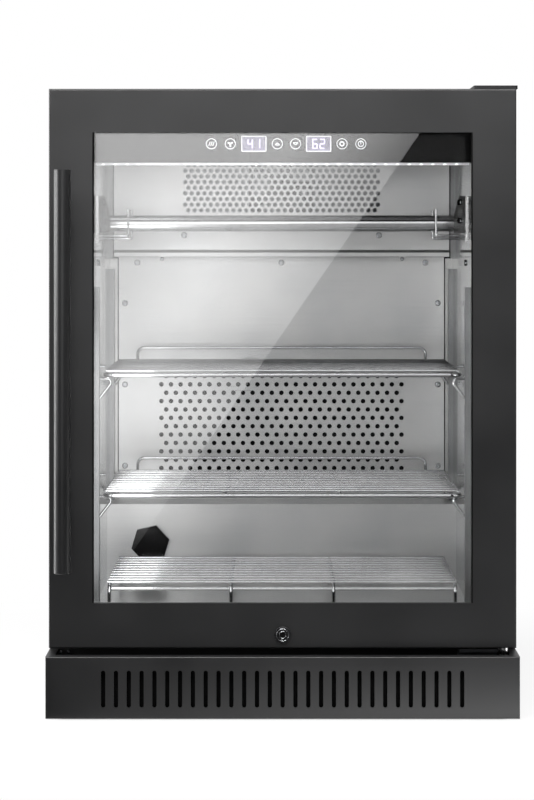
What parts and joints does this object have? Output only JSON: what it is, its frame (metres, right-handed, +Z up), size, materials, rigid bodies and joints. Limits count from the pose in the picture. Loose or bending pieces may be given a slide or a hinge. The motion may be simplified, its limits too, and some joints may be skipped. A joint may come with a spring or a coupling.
{
  "type": "dry aging cabinet",
  "caption": "Free-standing dry aging cabinet with a black glass door, stainless cavity, wire shelves, hanging rod and slotted plinth.",
  "frame": {"origin": "centre of the footprint on the floor", "axes": "+X to the right seen from the front, -Y out of the door, +Z up"},
  "size_m": [0.595, 0.6355, 0.7972],
  "materials": {
    "black_steel": "satin powder coat",
    "galvanised_steel": "zinc coated sheet",
    "stainless_sheet": "fine satin stainless sheet",
    "polished_wire": "polished plated wire and bar",
    "black_lock": "satin black",
    "fin_aluminium": "plain mill fins",
    "clear_glass": "clear float glass",
    "spacer_aluminium": "black anodised",
    "seal_rubber": "matt",
    "black_plastic": "moulded, fine texture",
    "panel_gloss": "gloss black",
    "light_diffuser": "white diffuser, lit",
    "foam": "cast polyurethane foam",
    "bush_brass": "turned"
  },
  "bodies": {
    "cabinet": {"side_panel_left": "black_steel", "side_panel_right": "black_steel", "top_panel": "black_steel", "rear_panel": "galvanised_steel", "rear_grille": "black_steel", "power_inlet": "black_plastic", "base_pan": "galvanised_steel", "front_frame": "black_steel", "lock_strike": "black_plastic", "insulation_foam": "foam", "liner_left": "stainless_sheet", "liner_right": "stainless_sheet", "liner_floor": "stainless_sheet", "liner_ceiling": "stainless_sheet", "liner_back": "black_plastic", "step_cover": "stainless_sheet", "back_panel": "stainless_sheet", "evaporator_cover": "stainless_sheet", "panel_screws": "polished_wire", "evaporator_coil": "fin_aluminium", "evaporator_fan_frame": "black_plastic", "uv_lamp": "light_diffuser", "filter_cap": "black_plastic", "control_panel": "panel_gloss", "led_strip": "light_diffuser", "shelf_uprights": "stainless_sheet", "shelf_brackets": "polished_wire", "rod_brackets": "stainless_sheet", "rod_retainers": "polished_wire", "compressor": "black_steel", "condenser_coil": "fin_aluminium", "condenser_fan_frame": "black_steel", "drain_pan": "black_plastic", "control_box": "black_plastic", "plinth_grille": "black_steel", "hinge_bracket_top": "black_steel", "hinge_bracket_bottom": "polished_wire", "hinge_cover": "black_plastic"},
    "door": {"door_skin": "black_steel", "door_core": "black_plastic", "door_liner": "black_plastic", "glass_outer": "clear_glass", "glass_inner": "clear_glass", "glass_spacer": "spacer_aluminium", "door_gasket": "seal_rubber", "handle_bar": "black_steel", "handle_posts": "black_steel", "lock_housing": "black_lock", "hinge_bushes": "bush_brass"},
    "lock": {"lock_cylinder": "polished_wire"},
    "rod": {"hanging_rod": "polished_wire"},
    "upper_shelf": {"shelf_upper": "polished_wire"},
    "lower_shelf": {"shelf_lower": "polished_wire"},
    "rack": {"bottom_rack": "polished_wire"},
    "evaporator_rotor": {"evaporator_fan": "black_plastic"},
    "condenser_rotor": {"condenser_fan": "black_plastic"},
    "front_left_foot": {"foot_front_left": "seal_rubber"},
    "front_right_foot": {"foot_front_right": "seal_rubber"},
    "rear_left_foot": {"foot_rear_left": "seal_rubber"},
    "rear_right_foot": {"foot_rear_right": "seal_rubber"}
  },
  "joints": [
    {"name": "door_hinge", "type": "hinge", "parent": "cabinet", "child": "door", "pos_m": [0.28, -0.24225, 0.44], "axis": [0, 0, 1], "range_deg": [0, 105]},
    {"name": "lock_turn", "type": "hinge", "parent": "door", "child": "lock", "pos_m": [0, -0.26225, 0.104], "axis": [0, -1, 0], "range_deg": [0, 90]},
    {"name": "rod_lift", "type": "slide", "parent": "cabinet", "child": "rod", "axis": [0, 0, 1], "range_m": [0, 0.025]},
    {"name": "upper_shelf_lift", "type": "slide", "parent": "cabinet", "child": "upper_shelf", "axis": [0, 0, 1], "range_m": [0, 0.02]},
    {"name": "lower_shelf_lift", "type": "slide", "parent": "cabinet", "child": "lower_shelf", "axis": [0, 0, 1], "range_m": [0, 0.02]},
    {"name": "rack_lift", "type": "slide", "parent": "cabinet", "child": "rack", "axis": [0, 0, 1], "range_m": [0, 0.05]},
    {"name": "evaporator_fan_spin", "type": "hinge", "parent": "cabinet", "child": "evaporator_rotor", "pos_m": [0, 0.217, 0.68], "axis": [0, 1, 0], "continuous": true},
    {"name": "condenser_fan_spin", "type": "hinge", "parent": "cabinet", "child": "condenser_rotor", "pos_m": [-0.07, 0.293, 0.098], "axis": [0, 1, 0], "continuous": true},
    {"name": "front_left_foot_screw", "type": "slide", "parent": "cabinet", "child": "front_left_foot", "axis": [0, 0, -1], "range_m": [0, 0.02]},
    {"name": "front_right_foot_screw", "type": "slide", "parent": "cabinet", "child": "front_right_foot", "axis": [0, 0, -1], "range_m": [0, 0.02]},
    {"name": "rear_left_foot_screw", "type": "slide", "parent": "cabinet", "child": "rear_left_foot", "axis": [0, 0, -1], "range_m": [0, 0.02]},
    {"name": "rear_right_foot_screw", "type": "slide", "parent": "cabinet", "child": "rear_right_foot", "axis": [0, 0, -1], "range_m": [0, 0.02]}
  ]
}
